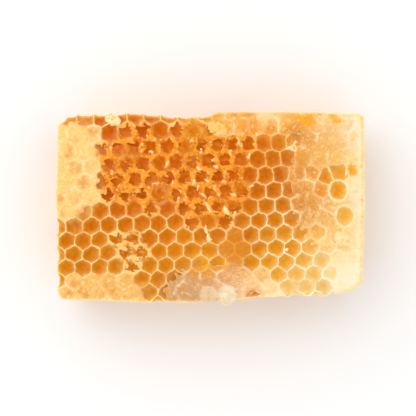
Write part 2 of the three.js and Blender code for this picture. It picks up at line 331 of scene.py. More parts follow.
class Columns:
    """What the cells of one layer are like under points seen from above.

    It holds the kind of the cell that a point is in, the distance to its nearest wall, the depth of its
    honey, its number of chance for its looks, and how far the point is off its middle.
    """

    def __init__(self, cells, x, y):
        x, y = np.broadcast_arrays(x, y)
        points = np.stack([bent(x, 1, x, y).ravel(), bent(y, 3, x, y).ravel()], axis=1)
        owner, walls = owners_and_walls(cells[:, :2], points)
        wall = blend_low(walls[:, 0], walls[:, 1], CORNER_ROUND)
        off = points - cells[owner, :2]
        kind, depth = cells[owner, 2], cells[owner, 3]
        kind[kind == ROUND] = CAPPED
        for middle in ROUND_CELLS:
            ring = np.hypot(*((points - middle) / (ROUND_CELL["rx"], ROUND_CELL["ry"])).T)
            disc = (1 - ring) * ROUND_CELL["rx"]
            kind = np.where(disc > 0, ROUND, kind)
            depth = np.where(disc > 0, ROUND_CELL["depth"], depth)
            wall = np.where(disc > 0, disc, np.minimum(wall, -disc))
        self.kind = kind.reshape(x.shape).astype(int)
        self.wall, self.depth, self.luck, self.off_x, self.off_y = (
            values.reshape(x.shape) for values in (wall, depth, cells[owner, 4], off[:, 0], off[:, 1])
        )


def slab_distance(x, y):
    """How far a point seen from above is outside the slab, less than 0 inside."""
    inside = np.zeros(np.shape(x), bool)
    for a, b in zip(OUTLINE, np.roll(OUTLINE, -1, axis=0)):
        crosses = (a[1] > y) != (b[1] > y)
        rise = (b[1] - a[1]) or 1  # a level edge crosses nothing
        inside ^= crosses & (x < (b[0] - a[0]) * (y - a[1]) / rise + a[0])
    nearest = line_distance([*OUTLINE, OUTLINE[0]], x, y)
    return np.where(inside, -nearest, nearest)


def veil_reach(cells, x, y):
    """How far inside the ragged caps a point is, less than 0 beside them and in the lone open cells."""
    usual_size, far_outside = 8, 30
    inside = usual_size * cover(RAGGED_CAPS, x, y) + 0.7 * ripples(19, 3.5, x, y)
    return inside - far_outside * (cells.kind >= ROUND)


class UpperFace:
    """The upper face under points seen from above: heights, and how far a point is inside each gap."""

    def __init__(self, x, y):
        self.cells = Columns(UPPER_CELLS, x, y)
        self.sealed = self.cells.kind == CAPPED
        self.level = RIM_HEIGHT + swell(x, y) + 0.1 * ripples(5, 6, x, y)
        self.set_areas(x, y)
        self.set_marks(x, y)
        self.set_walls(x, y)
        self.set_holes(x, y)
        self.set_cap(x, y)
        self.set_honey(x, y)

    def set_areas(self, x, y):
        """How much a point belongs to the torn, sunken, flooded and clear areas, from 0 to 1."""
        lone = self.cells.kind >= ROUND
        self.torn = np.where(self.sealed | lone, 0, smooth(cover(TORN_AREAS, x, y) * 2.5 + 0.6))
        patches = np.maximum(3 * cover(SUNKEN_AREAS, x, y), 0.6 * ripples(18, 9, x, y) - 0.35)
        self.sunken = smooth(patches + 0.3 * ripples(20, 3, x, y))
        self.flooded = smooth(3 * cover(FLOODED_AREAS, x, y) + 0.4 * ripples(21, 3, x, y)) * self.torn
        self.clear = smooth(2 * cover(CLEAR_AREAS, x, y) + 0.3 * ripples(26, 4, x, y))
        self.veil = veil_reach(self.cells, x, y)

    def set_marks(self, x, y):
        """The openings in the caps, the lines of honey and the stirred rings."""
        uneven = 0.35 * ripples(16, 1.8, x, y)
        self.openings = [
            (oval(x, y, *place) * min(place[2:]) * OPENING["stretch"] + uneven, depth)
            for *place, depth in OPENINGS
        ]
        self.opening = np.max([inside for inside, _ in self.openings], axis=0)
        runs = [bell(line_distance(line, x, y) / width) for line, width in RUNNELS]
        self.runnel = np.max(runs, axis=0)
        from_swirl = np.hypot((x - SWIRL["x"]) / SWIRL["rx"], (y - SWIRL["y"]) / SWIRL["ry"])
        turns = SWIRL["turns"] * (from_swirl + 0.12 * ripples(22, 4, x, y))
        faded = smooth(0.6 + 0.8 * ripples(25, 4, x, y)) * np.exp(-(from_swirl**6))
        self.swirl = np.sin(2 * math.pi * turns) * faded

    def set_walls(self, x, y):
        """How high the walls reach, and how far a point is off their sides."""
        broken = TEAR["broken"] * smooth((ripples(15, 5, x, y) - 0.4) * 3)
        drop = self.torn * (TEAR["least"] + 0.25 * ripples(6, 2.6, x, y) + broken)
        self.rim = self.level - drop - OPENING["drop"] * smooth(self.opening / OPENING["width"])
        swollen = HALF_WALL["torn"] * (1 + 0.7 * ripples(28, 3, x, y))
        half = HALF_WALL["deep"] + 0.05 * ripples(7, 3, x, y) + self.torn * swollen
        self.gap = self.cells.wall - half

    def set_holes(self, x, y):
        """How far a point is inside a hole in the caps, of which a flap is left along a cell's walls."""
        cells = self.cells
        whole = np.full_like(x, PITCH)
        rags = 0.6 + 0.6 * (cells.luck - 0.4) + 0.7 * ripples(8, 2.6, x, y) + 0.45 * ripples(9, 1.2, x, y)
        window = 0.5 * ripples(23, 3, x, y)
        remains = -0.5 + 0.3 * ripples(10, 2, x, y) * smooth(cover(TORN_AREAS, x, y) * 3 + 1.5)
        kinds = [self.sealed, cells.kind == TORN, cells.kind == WINDOW]
        flap = np.select(kinds, [whole, rags, window], remains)
        self.hole = np.maximum(np.minimum(self.gap - flap, -self.veil), self.opening)

    def set_cap(self, x, y):
        """The height of the caps: domed or sunken, curled where they are torn, and grooved."""
        dome = CAP["dome"] * smooth(self.cells.wall / 2) * (0.3 + self.cells.luck)
        sag = CAP["sag"] * self.sunken * smooth(self.gap / 0.5)
        curl = self.torn * (0.3 * ripples(12, 2.2, x, y) - 0.2)
        grooves = SWIRL["height"] * self.swirl - CAP["runnel"] * self.runnel
        smooth_cap = self.level - CAP["below_rim"] + dome - sag + curl + grooves
        self.cap = smooth_cap + 0.06 * fractal(11, 2.4, x, y)

    def set_honey(self, x, y):
        """The height of the honey: under the caps, in the open cells, over torn comb and in openings."""
        depth = self.cells.depth
        climb = MENISCUS["height"] * np.exp(-np.maximum(self.gap, 0) / MENISCUS["width"])
        honey = np.where(self.sealed, self.cap - HONEY["under_cap"], self.level - depth + climb)
        honey = honey + self.flooded * (depth - climb - HONEY["under_cap"] + 0.1 * ripples(24, 4, x, y))
        for inside, opening_depth in self.openings:
            honey = np.where(inside > -OPENING["width"], np.minimum(honey, self.cap - opening_depth), honey)
        self.honey = honey


# ---- the two fields ----
def tall(values):
    """A map seen from above, ready to be spread over heights."""
    return np.asarray(values, np.float32)[:, :, None]


class Comb:
    """The whole comb over a grid of points seen from above, ready for the fields at any heights."""

    def __init__(self, x, y):
        top, lower = UpperFace(x, y), Columns(LOWER_CELLS, x, y)
        side = slab_distance(x, y) + 0.12 * ripples(13, 5, x, y)
        upper_dip = CELL_BOTTOM["depth"] * smooth(top.cells.wall / CELL_BOTTOM["width"])
        lower_dip = CELL_BOTTOM["depth"] * smooth(lower.wall / CELL_BOTTOM["width"])
        self.x, self.y = tall(x), tall(y)
        self.side = tall(side)
        self.near_cut = tall(smooth(1 + side / 1.5) * (HALF_WALL["cut"] - HALF_WALL["deep"]))
        self.midrib = tall(MIDRIB_HEIGHT - upper_dip + lower_dip)
        self.under = tall(UNDER_CAP["height"] + UNDER_CAP["dome"] * smooth(lower.wall / 1.5))
        self.upper_gap, self.lower_wall = tall(top.gap), tall(lower.wall)
        self.rim, self.cap, self.hole = tall(top.rim), tall(top.cap), tall(top.hole)
        self.torn, self.honey = tall(top.torn), tall(top.honey)

    def gap(self, z, above):
        """How far a point is off the sides of the walls, which thicken at their rims and at a cut."""
        thickening = smooth(1 + (z - self.rim) / 1.2) * (HALF_WALL["rim"] - HALF_WALL["deep"])
        gap = np.where(above > 0, self.upper_gap - thickening, self.lower_wall - HALF_WALL["deep"])
        return gap - self.near_cut

    def whole_wax(self, z, above, gap):
        """Walls, midrib, upper caps and lower caps, beyond the cut sides too."""
        walls = blend_low(gap, np.abs(above) - MIDRIB_THICKNESS / 2, ROUNDING["midrib"])
        walls = blend_high(walls, z - self.rim, ROUNDING["rim"])
        cap = np.abs(z - self.cap) - CAP["thickness"] / 2
        cap = blend_high(cap, self.hole, ROUNDING["hole"])
        cap = cap + self.torn * 0.12 * ripples(17, 1.1, self.x, self.y, z)
        under = np.abs(z - self.under) - CAP["thickness"] / 2
        return blend_low(blend_low(walls, cap, ROUNDING["cap"]), under, ROUNDING["under"])

    def fields(self, z):
        """The wax and the honey at some heights."""
        above = z - self.midrib
        gap = self.gap(z, above)
        cut = self.side + 0.05 * ripples(14, 3, self.x, self.y, z)
        from_midrib = np.abs(above) - MIDRIB_THICKNESS / 2
        from_ends = np.minimum(self.rim - z, z - CAP["thickness"])
        buried = np.minimum(np.minimum(gap, from_midrib), from_ends)
        recess = SIDE_RECESS["least"] + SIDE_RECESS["more"] * smooth(buried / SIDE_RECESS["width"])
        honey = blend_high(z - self.honey, cut + recess, ROUNDING["honey"])
        honey = blend_high(honey, HONEY["bottom"] - z, ROUNDING["bottom"])
        wax_cut = cut + 0.03 * ripples(27, 2.2, self.x, self.y, z)
        wax = blend_high(self.whole_wax(z, above, gap), wax_cut, ROUNDING["cut"])
        return np.maximum(wax, -(honey + SHELL)).astype(np.float32), honey.astype(np.float32)


def add_lump(wax, axes, number, lump):
    """Joins one lump or flake to the wax, in the part of the grid round it."""
    lx, ly, lz, rx, ry, rz, degrees = lump
    reach = 1.3 * max(rx, ry, rz) + 0.5  # its roughness and its blend stand out past its half sizes
    spans = [np.searchsorted(axis, (m - reach, m + reach)) for axis, m in zip(axes, (lx, ly, lz))]
    window = tuple(slice(*span) for span in spans)
    if wax[window].size == 0:
        return
    x, y, z = np.meshgrid(*[axis[part] for axis, part in zip(axes, window)], indexing="ij")
    u, v = turned(x - lx, y - ly, degrees)
    v = v + 0.35 * ripples(50 + number, 2, x, y)
    ball = np.sqrt((u / rx) ** 2 + (v / ry) ** 2 + ((z - lz - swell(x, y)) / rz) ** 2)
    rough = 0.35 * min(1, rx, ry, rz) * fractal(20 + number, 2.2, x, y, z)
    wax[window] = blend_low(wax[window], (ball - 1) * min(rx, ry, rz) + rough, ROUNDING["lump"])


def make_fields(low, high):
    """The wax and the honey between two heights: where the grid starts, and both fields."""
    sides, ends = GRID_MARGIN["sides"], GRID_MARGIN["ends"]
    spans = [(a - sides, b + sides) for a, b in zip(*(np.array(corner)[:2] / MM for corner in cad_box))]
    spans.append((low - ends, high + ends))
    axes = [np.arange(a, b, GRID_STEP, dtype=np.float32) for a, b in spans]
    comb = Comb(*np.meshgrid(axes[0], axes[1], indexing="ij"))
    z = axes[2][None, None, :]
    slices = [comb.fields(part) for part in np.array_split(z, max(1, z.size // AT_ONCE["heights"]), axis=2)]
    wax, honey = (np.concatenate(field, axis=2) for field in zip(*slices))
    for number, lump in enumerate(LUMPS + FLAKES):
        add_lump(wax, axes, number, lump)
    beyond = np.maximum(low - z, z - high)
    return np.array([axis[0] for axis in axes]), np.maximum(wax, beyond), np.maximum(honey, beyond)


# ---- from a field to a piece ----
def relaxed(points, triangles):
    """Each point moves half way to the middle of its neighbours, once."""
    starts, ends = triangles.ravel(), np.roll(triangles, -1, axis=1).ravel()
    count = np.bincount(starts, minlength=len(points))
    sums = [np.bincount(starts, weights=points[ends, n], minlength=len(points)) for n in range(3)]
    return 0.5 * points + 0.5 * np.stack(sums, axis=1) / count[:, None]


def new_mesh(name, points, triangles):
    """A Blender mesh, filled all at once."""
    mesh = bpy.data.meshes.new(name)
    mesh.vertices.add(len(points))
    mesh.vertices.foreach_set("co", points.ravel().astype(np.float32))
    mesh.loops.add(triangles.size)
    mesh.loops.foreach_set("vertex_index", triangles.ravel().astype(np.int32))
    mesh.polygons.add(len(triangles))
    mesh.polygons.foreach_set("loop_start", np.arange(0, triangles.size, 3, dtype=np.int32))
    mesh.update(calc_edges=True)
    return mesh


def thinned(points, triangles, most):
    """The same surface in at most so many triangles."""
    rough = bpy.data.objects.new("rough", new_mesh("rough", points, triangles))
    bpy.context.scene.collection.objects.link(rough)
    thin = rough.modifiers.new("thin", "DECIMATE")
    thin.ratio = min(1, most / len(triangles))
    result = rough.evaluated_get(bpy.context.evaluated_depsgraph_get()).to_mesh()
    points = np.zeros(len(result.vertices) * 3, np.float32)
    result.vertices.foreach_get("co", points)
    triangles = np.zeros(len(result.loops), np.int32)
    result.loops.foreach_get("vertex_index", triangles)
    bpy.data.meshes.remove(rough.data)
    return points.reshape(-1, 3).astype(float), triangles.reshape(-1, 3)


def largest_body(points, triangles):
    """Without the loose scraps: every point takes the lowest number in its body, in rounds."""
    starts, ends = triangles.ravel(), np.roll(triangles, -1, axis=1).ravel()
    label = np.arange(len(points))
    while True:
        low = np.minimum(label[starts], label[ends])
        new = label.copy()
        np.minimum.at(new, label[starts], low)
        np.minimum.at(new, label[ends], low)
        new = new[new]
        if (new == label).all():
            break
        label = new
    body = label[triangles[:, 0]]
    triangles = triangles[body == np.bincount(body).argmax()]
    used, triangles = np.unique(triangles, return_inverse=True)
    return points[used], triangles.reshape(-1, 3)


def surface(field, origin):
    """The field's zero level as points and triangles that face outwards."""
    grid = openvdb.FloatGrid(1.0)
    grid.copyFromArray(np.ascontiguousarray(field))
    points, _, quads = grid.convertToPolygons(isovalue=0.0, adaptivity=0.0)
    triangles = np.concatenate([quads[:, [0, 1, 2]], quads[:, [0, 2, 3]]]).astype(np.int64)
    points = relaxed(points * GRID_STEP + origin, triangles)
    a, b, c = (points[triangles[:, n]] for n in range(3))
    if np.einsum("ij,ij->i", a, np.cross(b, c)).sum() < 0:
        triangles = triangles[:, ::-1]
    return points, triangles


def piece_from_field(name, field, origin, most_triangles):
    """A smooth piece from a field, and its points in millimetres."""
    points, triangles = largest_body(*thinned(*surface(field, origin), most_triangles))
    piece = bpy.data.objects.new(name, new_mesh(name, points * MM, triangles))
    piece.data.polygons.foreach_set("use_smooth", np.ones(len(triangles), bool))
    bpy.context.scene.collection.objects.link(piece)
    return piece, points.T


# ---- colours ----
def screen(red, green, blue):
    """A screen colour of 0 to 255 as light."""
    c = np.array((red, green, blue)) / 255
    return np.where(c <= 0.04045, c / 12.92, ((c + 0.055) / 1.055) ** 2.4)


AMBER = screen(217, 113, 2)
ORANGE = screen(217, 129, 12)
GOLD = screen(220, 141, 10)
BRIGHT_GOLD = screen(232, 158, 32)
YELLOW = screen(240, 178, 44)
DEEP_YELLOW = screen(252, 176, 24)
MARIGOLD = screen(246, 172, 44)
HAZEL = screen(208, 138, 66)
TANGERINE = screen(238, 152, 50)
STRAW = screen(245, 196, 96)
PALE_STRAW = screen(248, 212, 136)
HONEYED_CREAM = screen(250, 204, 118)
PULP = screen(244, 164, 42)
HONEYED = screen(212, 132, 28)
GRAINY_GOLD = screen(226, 156, 72)
SAND = screen(234, 182, 112)
GOLDEN_WAX = screen(246, 182, 86)
RUST = screen(224, 138, 60)
TAN = screen(222, 162, 94)
DUSK = screen(208, 163, 119)
ROSE = screen(229, 178, 132)
APRICOT = screen(247, 184, 88)
PEACH = screen(240, 190, 108)
BUFF = screen(248, 210, 134)
IVORY = screen(249, 228, 186)
WHITE_WAX = screen(250, 234, 206)
CHALK = screen(241, 225, 194)
OLD_WAX = screen(230, 204, 161)
PALE_IVORY = screen(250, 230, 196)
CREAM = screen(255, 226, 170)
PALE_CREAM = screen(255, 234, 196)
SIDE_HONEY = screen(214, 126, 10)

# Deeper shades of a colour, as factors of its red, green and blue light.
SHADED = (0.96, 0.86, 0.7)
SOAKED = (0.97, 0.88, 0.72)
DEEP = (0.94, 0.84, 0.6)
SUNK = (1, 0.88, 0.7)

# What each kind of surface looks like round some places: x, y, how far that reaches, and the colour.
# Honey, the walls' rims, torn wax, caps and lumps each have their own, and spots lie on top.
HONEY_ZONES = (
    (-2, 9, 14, AMBER), (20, 6, 9, ORANGE), (14, -9, 7, GOLD), (24, -13, 7, YELLOW),
    (-4, -13, 8, BRIGHT_GOLD), (-4, 23.5, 4, BRIGHT_GOLD), (-1, -18, 4, YELLOW),
    (36.5, 8.5, 3, TANGERINE), (41, 5, 4, YELLOW), (42, -3, 3, STRAW), (42, -22, 8, PALE_STRAW),
    (18.4, -18, 3, YELLOW), (30, -22, 5, STRAW), (28, -27, 4, CREAM), (-26, 12, 14, AMBER),
    (-30, -16, 12, GOLD), (40.8, 12, 2.5, STRAW), (46, 24, 8, STRAW), (33, 26, 6, YELLOW),
    (37, -27, 5, IVORY),
)
WALL_ZONES = (
    (12, 17, 5, GOLDEN_WAX), (10, 2, 3, GOLDEN_WAX), (23, 13, 6, HONEYED_CREAM), (28, -2, 8, CREAM),
    (38, -20, 12, PALE_CREAM), (-6, -8, 10, BUFF), (-30, 0, 16, BUFF),
)
PULP_ZONES = ((0, 12, 14, PULP), (-26, 12, 14, PULP), (-24, -14, 8, BUFF))
FILM_ZONES = (
    (34, 18, 5, PEACH), (29, 13, 3, TAN), (29, -1, 4, TAN), (36, 8, 4, PEACH), (6, 27.5, 5, APRICOT),
    (18.5, 29.5, 2.5, IVORY), (18, 25.5, 2.5, APRICOT), (24, 28, 3, APRICOT), (38, 25.5, 3, PEACH),
    (43, 28, 5, WHITE_WAX), (44.5, 14, 3.5, BUFF), (37, -2, 4, SAND), (40, -13, 3.5, BUFF),
    (43, -20, 6, WHITE_WAX), (-6, -25, 6, DUSK), (-4, -20, 3, TAN), (6, -24, 4, ROSE),
    (33, 22.5, 5, GRAINY_GOLD), (31, 3.5, 3.5, GRAINY_GOLD), (38, 18, 3.5, PEACH),
    (33, -10.5, 3, HONEYED_CREAM), (36, -5, 3, PEACH), (27, 22.5, 3, HONEYED), (34, 29, 3, CREAM),
    (16, -21.8, 3, PEACH), (12, 24, 2.5, TANGERINE), (48.5, 16, 3.2, WHITE_WAX),
    (48.5, 8, 3.2, WHITE_WAX), (48, -2, 2.2, PALE_IVORY), (15, -26, 4, IVORY), (20, -29, 4, PALE_CREAM),
    (9, -13, 5, HONEYED), (-44, 12, 9, BUFF), (-34, -27, 9, PEACH),
)
LUMP_ZONES = (
    (5, -27.5, 2, CHALK), (-1.5, -27.5, 3, OLD_WAX), (2, 25.3, 5, HONEYED_CREAM),
    (41.6, -9.3, 6, CREAM), (-31, 28, 6, CREAM), (4, 5, 9, CREAM),
)
SPOTS = (
    (-1.5, -17.3, 1.8, YELLOW), (3.6, -17.6, 1.8, YELLOW), (14, -27.5, 2.2, RUST),
    (27.6, 22.8, 1.8, HAZEL), (-2.5, 28.1, 1.4, ORANGE), (36, 5.5, 2.2, TANGERINE),
    (18.6, 23.2, 2, TANGERINE),
)

# How strongly each thing colours what is under it.
ON_HONEY = {"light": 0.2, "shade": 0.5, "veil": 0.5, "spots": 1.4, "walls": 0.35, "scraps": 0.5, "cut": 0.85}
ON_CAPS = {
    "wisps": 0.35, "soaked": 0.55, "strokes": 0.6, "holes": 0.6, "rings": 0.5, "pools": 0.95,
    "runnels": 0.7, "end_honey": 0.5, "end_line": 0.8,
}
ON_WAX = {"wet": 0.8, "dark": 0.8, "flecks_and_highlights": 0.8, "deep": 0.75, "run": 0.8, "rim": 0.7}
ON_LUMPS = {"dusk": 0.25, "outline": 0.8, "lump": 0.95}

# Pools of honey level with the caps: middle, half sizes and colour.
POOLS = (
    (31, 27.8, 2.1, 2, MARIGOLD), (29, 28.8, 1.8, 1, DEEP_YELLOW), (33, 29.9, 2, 0.8, MARIGOLD),
    (38.7, 29.2, 1.2, 0.9, DEEP_YELLOW), (40.2, 27.9, 1.6, 1.1, DEEP_YELLOW), (45, 12, 1.5, 1.8, YELLOW),
)


def mixed(a, b, share):
    """Colours with a share of others in them."""
    return a + (np.asarray(b) - a) * np.clip(share, 0, 1)[:, None]


def tone(zones, x, y):
    """The colour at each point: that of the zones round it, the nearer the more."""
    away = [((x - zx) ** 2 + (y - zy) ** 2) / (2 * reach**2) for zx, zy, reach, _ in zones]
    weights = [np.exp(-distance) + 1e-9 for distance in away]  # never all nothing
    colours = np.array([colour for *_, colour in zones])
    return np.einsum("zn,zc->nc", weights / np.sum(weights, axis=0), colours)


def with_spots(colours, strength, x, y):
    """Colours with the soft spots on top."""
    for sx, sy, reach, colour in SPOTS:
        colours = mixed(colours, colour, strength * bell(np.hypot(x - sx, y - sy) / reach))
    return colours


def pool_shares(x, y):
    """How much of each pool is at a point, with the colour of the pool."""
    uneven = 0.3 * ripples(45, 1.6, x, y)
    for *place, colour in POOLS:
        inside = oval(x, y, *place) * min(place[2:]) + uneven
        yield smooth(0.5 + inside / 0.4), colour


def paint(piece, colours, grain):
    """The colours, and in their fourth part how grainy the surface is."""
    attribute = piece.data.color_attributes.new("tint", "FLOAT_COLOR", "POINT")
    rgba = np.concatenate([np.clip(colours, 0, 1), np.clip(grain, 0, 1)[:, None]], axis=1)
    attribute.data.foreach_set("color", rgba.ravel().astype(np.float32))


# ---- the honey's colours ----
def honey_tint(layer_cells, x, y, z):
    """Honey: deepest in cell middles, painted shade on one side of each cell, painted light on the other,
    golden at a cut.
    """
    cells = Columns(layer_cells, x, y)
    wall_colours = tone(WALL_ZONES, x, y)
    # Painted shade on each cell's -x,+y side, where the walls' shadow falls, painted light on its other
    # side.
    lit_side_slope = (cells.off_x - cells.off_y) / PITCH + 0.4 * ripples(40, 5, x, y)
    colours = mixed(tone(HONEY_ZONES, x, y), wall_colours, ON_HONEY["light"] * lit_side_slope)
    colours = mixed(colours, colours * SHADED, ON_HONEY["shade"] * (cells.luck - 0.5 - lit_side_slope))
    under_veil = smooth(1 + veil_reach(cells, x, y) / 2.5)
    colours = mixed(colours, tone(FILM_ZONES, x, y), ON_HONEY["veil"] * under_veil)
    colours = with_spots(colours, ON_HONEY["spots"], x, y)
    colours = mixed(colours, colours * DEEP, smooth((cells.wall - 0.4) / 1.6))
    colours = mixed(colours, wall_colours, ON_HONEY["walls"] * smooth(1 - cells.wall / 0.9))
    scraps = smooth(fractal(42, 2.6, x, y) * 1.4 - 0.3) * smooth(cover(TORN_AREAS, x, y) * 3)
    colours = mixed(colours, tone(PULP_ZONES, x, y), ON_HONEY["scraps"] * scraps)
    at_cut, left_of_end = smooth(1.5 + slab_distance(x, y) / 1.2), smooth(2 - x / 8)
    colours = mixed(colours, YELLOW, ON_HONEY["cut"] * at_cut * left_of_end)
    shade = cells.luck + 0.35 * ripples(41, 6, x, y, z)
    side = mixed(np.broadcast_to(SIDE_HONEY, colours.shape), YELLOW, shade)
    return mixed(colours, side, smooth((RIM_HEIGHT - 2 - z) / 2))


# ---- the wax's colours ----
def wall_lines(cells):
    """1 on the cells' walls, 0 a little beside them."""
    return smooth(1.4 - cells.wall / 0.35)


def with_wisps(colours, pale, wisps):
    """Pale wisps, and between them places that honey has soaked."""
    colours = mixed(colours, pale, ON_CAPS["wisps"] * smooth(wisps))
    return mixed(colours, colours * SOAKED, ON_CAPS["soaked"] * smooth(-wisps))


def film_base(x, y, top, honey_colours):
    """A thin cap over honey, with its walls showing here and there."""
    cells = top.cells
    middle = smooth((cells.wall - 0.2) / 1.2)
    honey = 0.45 * smooth(0.2 + 0.9 * (cells.luck - 0.3) + 0.8 * ripples(31, 7, x, y)) + 0.6 * top.sunken
    colours = mixed(tone(FILM_ZONES, x, y), honey_colours, np.maximum(middle * honey, 0.5 * top.clear))
    seen = np.maximum(smooth(0.2 + ripples(32, 7, x, y)), np.maximum(top.sunken, 0.8 * top.clear))
    wall = mixed(np.broadcast_to(PALE_CREAM, colours.shape), APRICOT, top.clear)
    return mixed(colours, wall, (0.7 - 0.2 * top.clear) * wall_lines(cells) * seen)


def film_tint(x, y, top, honey_colours, edge):
    """A sealed cell: its cap, wispy and stroked, with the marks that honey has left on it."""
    wisps = (0.7 * streaks(36, 6, 1, 50, x, y) + 0.5 * fractal(33, 2.4, x, y)) * (1 - 0.6 * top.clear)
    wisps = wisps * (1 - 0.6 * smooth(2 * cover(HAZY_AREAS, x, y)))
    colours = with_wisps(film_base(x, y, top, honey_colours), BUFF, wisps)
    long_strokes = smooth(2.5 * streaks(37, 4, 0.8, 35, x, y) - 1.4)
    short_strokes = smooth(2.5 * streaks(46, 3, 0.8, -20, x, y) - 1.7)
    strokes = (long_strokes + short_strokes) * (1 - top.clear)
    colours = mixed(colours, CREAM, ON_CAPS["strokes"] * strokes)
    colours = mixed(colours, honey_colours, ON_CAPS["holes"] * smooth(1 + top.hole / 0.9))
    # Painted light on the rings' ridges and painted shade in their grooves.
    colours = mixed(colours, CREAM, ON_CAPS["rings"] * smooth(top.swirl))
    colours = mixed(colours, TAN, ON_CAPS["rings"] * smooth(-top.swirl))
    colours = with_spots(colours, 0.7 + 0.5 * wisps, x, y)
    for share, colour in pool_shares(x, y):
        colours = mixed(colours, colour, ON_CAPS["pools"] * share)
    colours = mixed(colours, PULP, ON_CAPS["runnels"] * top.runnel)
    right_end = smooth(x / 9 - 4)
    colours = mixed(colours, YELLOW, ON_CAPS["end_honey"] * bell((edge + 0.6) / 0.3) * right_end)
    return mixed(colours, PALE_CREAM, ON_CAPS["end_line"] * bell((edge + 1.7) / 0.35) * right_end)


def under_tint(x, y):
    """The sealed lower face: pale caps, with honey showing through some of them."""
    cells = Columns(LOWER_CELLS, x, y)
    colours = mixed(np.broadcast_to(BUFF, (len(x), 3)), IVORY, 0.5 + 0.7 * fractal(60, 16, x, y))
    honey = smooth(cells.wall / 1.6) * smooth(0.1 + 0.9 * (cells.luck - 0.3) + 0.7 * ripples(61, 14, x, y))
    colours = mixed(colours, GOLD, 0.55 * honey)
    colours = mixed(colours, PALE_CREAM, 0.5 * wall_lines(cells))
    return with_wisps(colours, CREAM, 0.7 * streaks(62, 6, 1, 20, x, y) + 0.5 * fractal(63, 2.4, x, y))


def wall_tint(x, y):
    """The walls, golden where honey wets them."""
    wet = smooth(fractal(44, 6, x, y) - 0.3 + 0.8 * smooth(2 * cover(WET_WALLS, x, y)))
    return mixed(tone(WALL_ZONES, x, y), GOLDEN_WAX, ON_WAX["wet"] * wet)


def torn_tint(x, y, z, level, honey_colours):
    """Torn comb: wet pulp, darker in places, flecked with pale wax and with painted highlights on its higher
    tips.
    """
    dark = smooth(-fractal(35, 3, x, y, z) * 1.5)
    pulp = mixed(tone(PULP_ZONES, x, y), honey_colours, ON_WAX["dark"] * dark)
    # Pale wax flecks, and painted highlights that grow with height on the tips.
    flecks_and_highlights = smooth(fractal(34, 1.8, x, y, z) * 1.6 - 1 + 0.6 * (z - level))
    return mixed(pulp, CREAM, ON_WAX["flecks_and_highlights"] * flecks_and_highlights)


def side_tint(x, y, z):
    """The walls where the knife has cut them."""
    return mixed(np.broadcast_to(BUFF, (len(x), 3)), CREAM, 0.5 + 0.7 * fractal(39, 5, x, y, z))


def round_rim(x, y):
    """1 on the rims of the round cells, 0 away from them."""
    rings = [np.hypot((x - rx) / ROUND_CELL["rx"], (y - ry) / ROUND_CELL["ry"]) for rx, ry in ROUND_CELLS]
    return bell((np.min(rings, axis=0) - 1.08) * ROUND_CELL["rx"] / 0.45)


def lump_share(x, y):
    """1 on a lump or flake, 0 a little beside it."""
    share = np.zeros(len(x))
    for lx, ly, _, rx, ry, _, degrees in LUMPS + FLAKES:
        u, v = turned(x - lx, y - ly, degrees)
        share = np.maximum(share, smooth((1.3 - np.hypot(u / rx, v / ry)) * 3))
    return share


def with_lumps(colours, on_lump, lumps, film, x, y, z):
    """Pale lumps, with painted shade in a darker line round the feet of those that lie on caps."""
    outline = smooth(1 - np.abs(on_lump - 0.25) / 0.25)
    dusk = ON_LUMPS["dusk"] * smooth(fractal(43, 2.2, x, y, z))
    # Painted shade round the lumps' feet, where they sit on the caps.
    colours = mixed(colours, HAZEL, ON_LUMPS["outline"] * outline * film)
    return mixed(colours, mixed(tone(LUMP_ZONES, x, y), DUSK, dusk), ON_LUMPS["lump"] * lumps)


def grain_of(top, film, lumps, near_face, x, y):
    """How grainy the wax is: most in caps and rags, less where it is clear, even, lumpy or pooled."""
    grain = np.maximum(film, top.torn) * near_face * (1 - 0.7 * lumps)
    grain = grain * (1 - 0.6 * top.clear) * (1 - 0.5 * smooth(2 * cover(HAZY_AREAS, x, y)))
    return grain * (1 - 0.7 * np.max([share for share, _ in pool_shares(x, y)], axis=0))


def wax_tint(x, y, z):
    """The colours of the wax, and how grainy it is."""
    top, edge, level = UpperFace(x, y), slab_distance(x, y), RIM_HEIGHT + swell(x, y)
    honey_colours = tone(HONEY_ZONES, x, y)
    film = np.where(top.sealed, 1, smooth(top.veil + 0.5))
    colours = mixed(wall_tint(x, y), torn_tint(x, y, z, level, honey_colours), top.torn)
    colours = mixed(colours, film_tint(x, y, top, honey_colours, edge), film)
    colours = mixed(colours, CREAM, round_rim(x, y))
    # Deeper honey colour below the rims: honey seen through the wax, and painted shade that leaves the rims
    # lighter.
    deep = smooth((top.rim - 0.25 - z) / 1.2) * (1 - film) * smooth(-edge - 0.5)
    colours = mixed(colours, honey_colours * SUNK, ON_WAX["deep"] * deep)
    run = mixed(honey_colours, PULP, 0.5 + 0.8 * streaks(38, 5, 1.2, 80, x, y))
    colours = mixed(colours, run, ON_WAX["run"] * top.flooded)
    at_cut = smooth(1.5 + edge / 0.6)
    colours = mixed(colours, CREAM, ON_WAX["rim"] * at_cut * smooth((z - level + 2.5) / 1.5))
    colours = mixed(colours, side_tint(x, y, z), at_cut * smooth((level - 1.5 - z) / 1.5))
    colours = mixed(colours, under_tint(x, y), smooth(2 - z) * (1 - 0.7 * at_cut))
    on_lump = lump_share(x, y)
    lumps = on_lump * smooth((z - level + 1.5) / 0.8)
    grain = grain_of(top, film, lumps, smooth((z - level + 3) / 2), x, y)
    return with_lumps(colours, on_lump, lumps, film, x, y, z), grain


# ---- materials ----
WAX_LOOK = {"roughness": 0.45, "scatter": (1.0, 0.8, 0.6), "reach": 0.4, "gloss": 0.15, "coat": 0.05}
HONEY_LOOK = {"roughness": 0.18, "scatter": (1.0, 0.75, 0.45), "reach": 0.8, "gloss": 0.15, "coat": 0.06}


